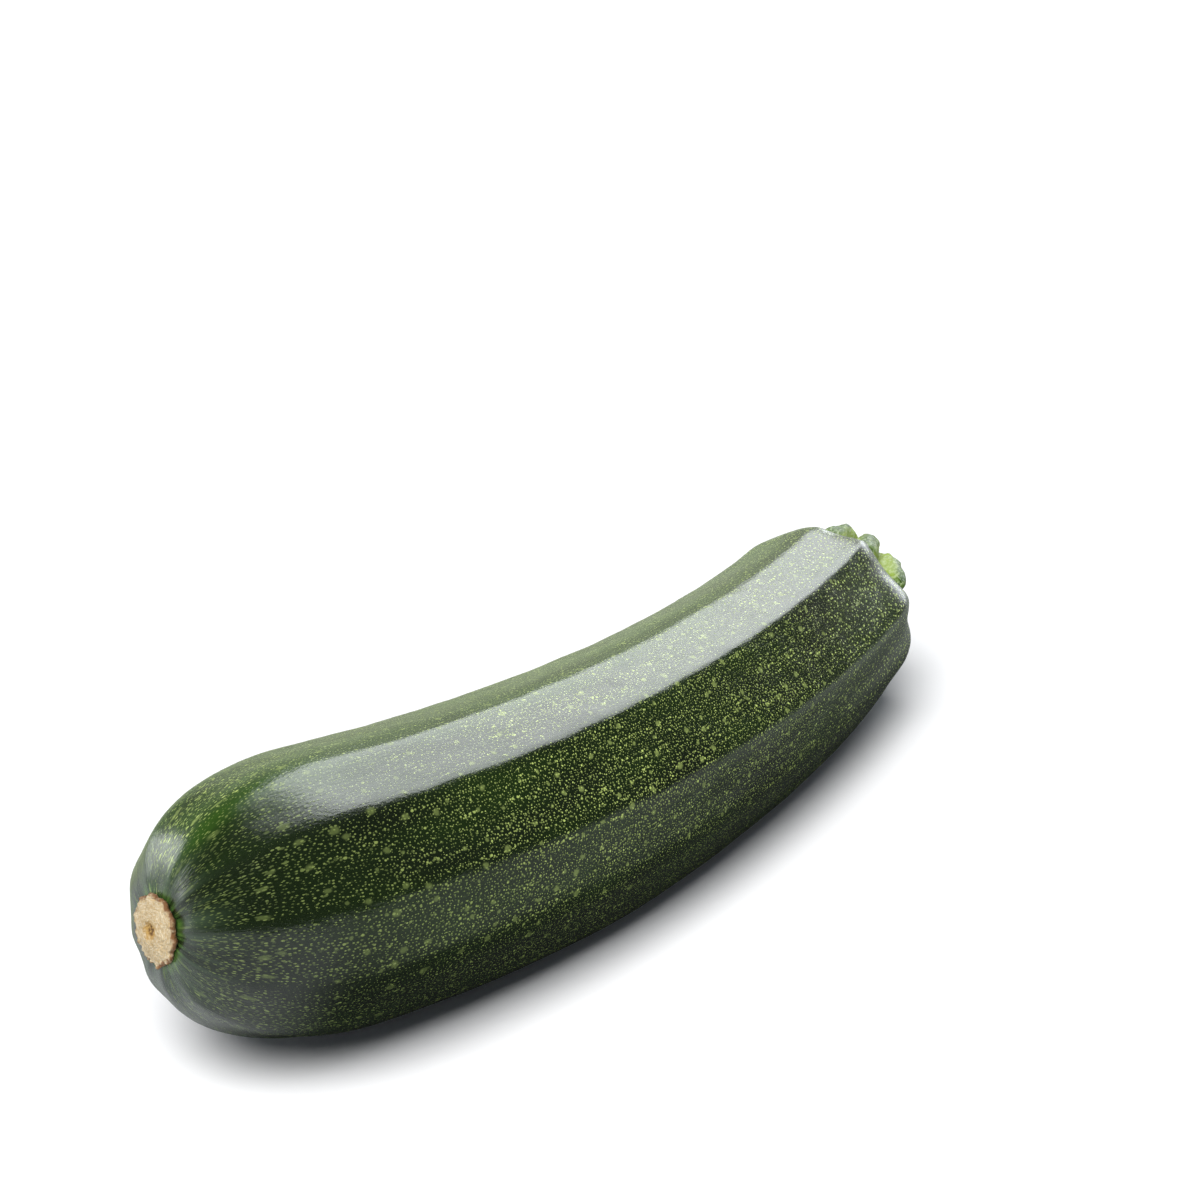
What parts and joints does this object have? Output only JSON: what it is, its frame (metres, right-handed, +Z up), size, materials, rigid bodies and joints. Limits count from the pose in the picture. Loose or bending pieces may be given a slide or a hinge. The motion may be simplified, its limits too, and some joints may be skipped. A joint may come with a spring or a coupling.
{
  "type": "courgette",
  "caption": "Fresh slightly curved green courgette with soft lengthwise ridges, a short cut stalk stub with rounded lobes and a corky blossom scar, lying on its side",
  "frame": {"origin": "under the middle of the bounding box, on the surface that the courgette lies on", "axes": "+X along the fruit from the blossom scar to the stalk, +Y the side it bends towards, +Z up"},
  "size_m": [0.202, 0.0538, 0.0511],
  "materials": {
    "skin": "semi-gloss waxy, dark green with pale yellow-green flecks",
    "stalk": "satin, mid-green ridges, yellow-green valleys and a moist pale cut face",
    "scar": "dry matt cork, tan with a brown rim"
  },
  "bodies": {
    "root": {"fruit": "skin", "stalk": "stalk", "blossom_scar": "scar"}
  },
  "joints": []
}
